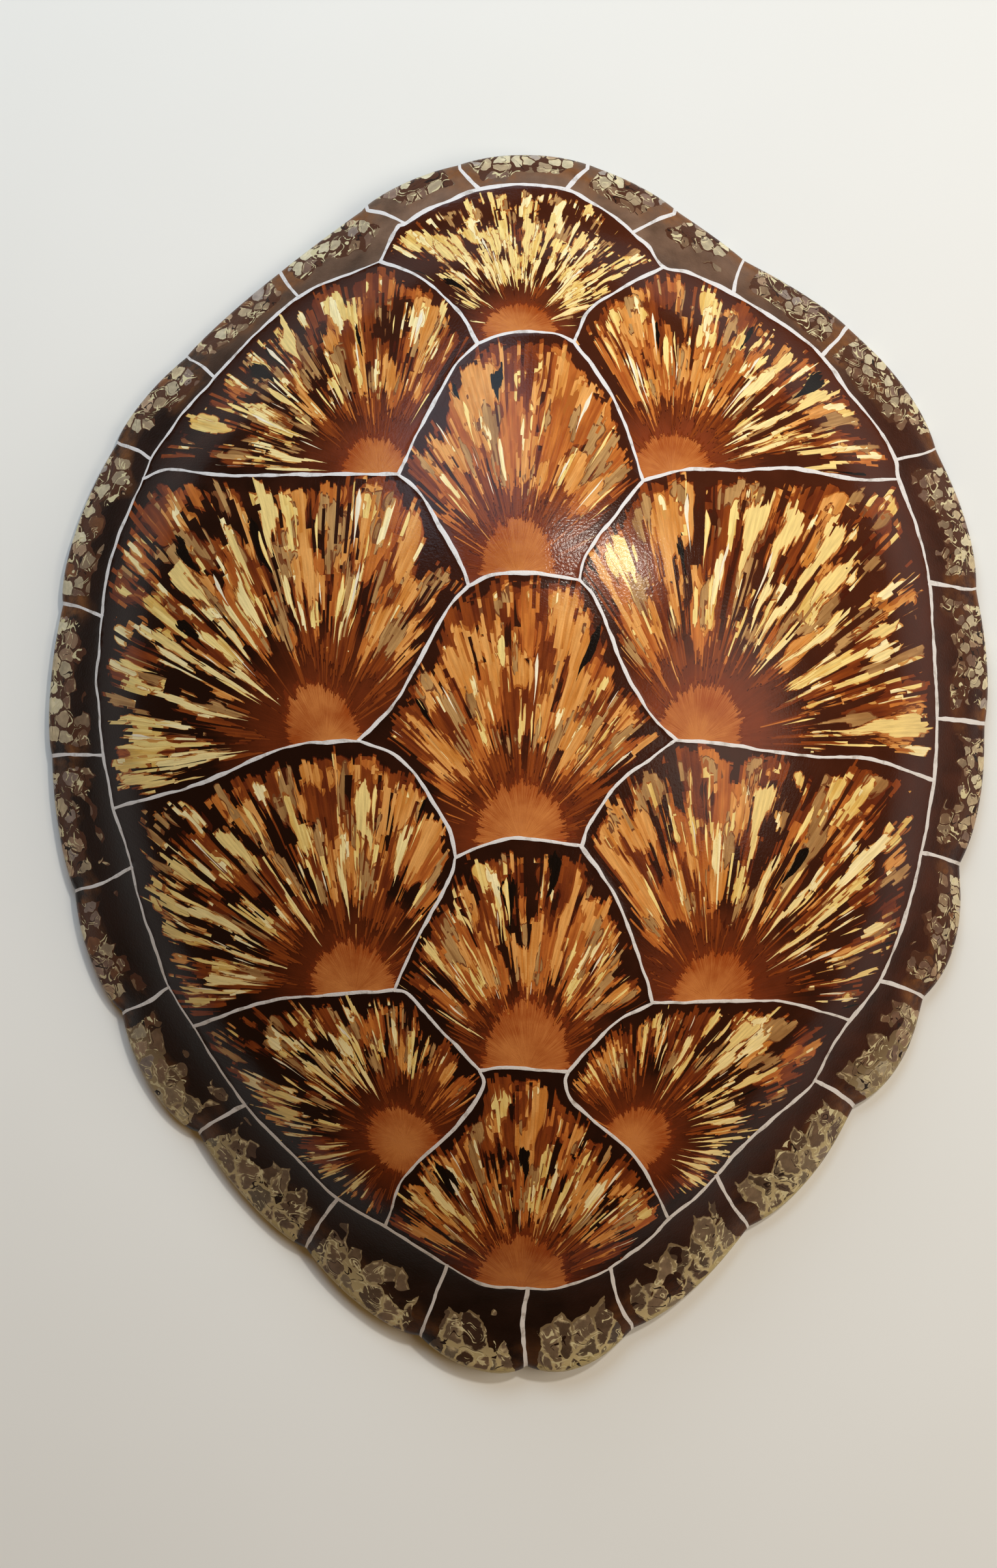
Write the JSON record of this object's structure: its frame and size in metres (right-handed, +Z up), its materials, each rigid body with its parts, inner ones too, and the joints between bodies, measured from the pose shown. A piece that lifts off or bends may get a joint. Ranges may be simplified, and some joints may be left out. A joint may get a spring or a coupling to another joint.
{
  "type": "sea turtle shell",
  "caption": "Domed sea turtle carapace with a scalloped rim, varnished and hollow underneath, lying on its rim.",
  "frame": {"origin": "middle of the box's underside, on the plane that the rim rests on", "axes": "+Y from tail to head, along the shell's length; +Z up, out of the dome; +X to the animal's right"},
  "size_m": [0.4336, 0.5596, 0.118],
  "materials": {
    "varnished_horn": "satin"
  },
  "bodies": {
    "root": {"carapace": "varnished_horn"}
  },
  "joints": []
}
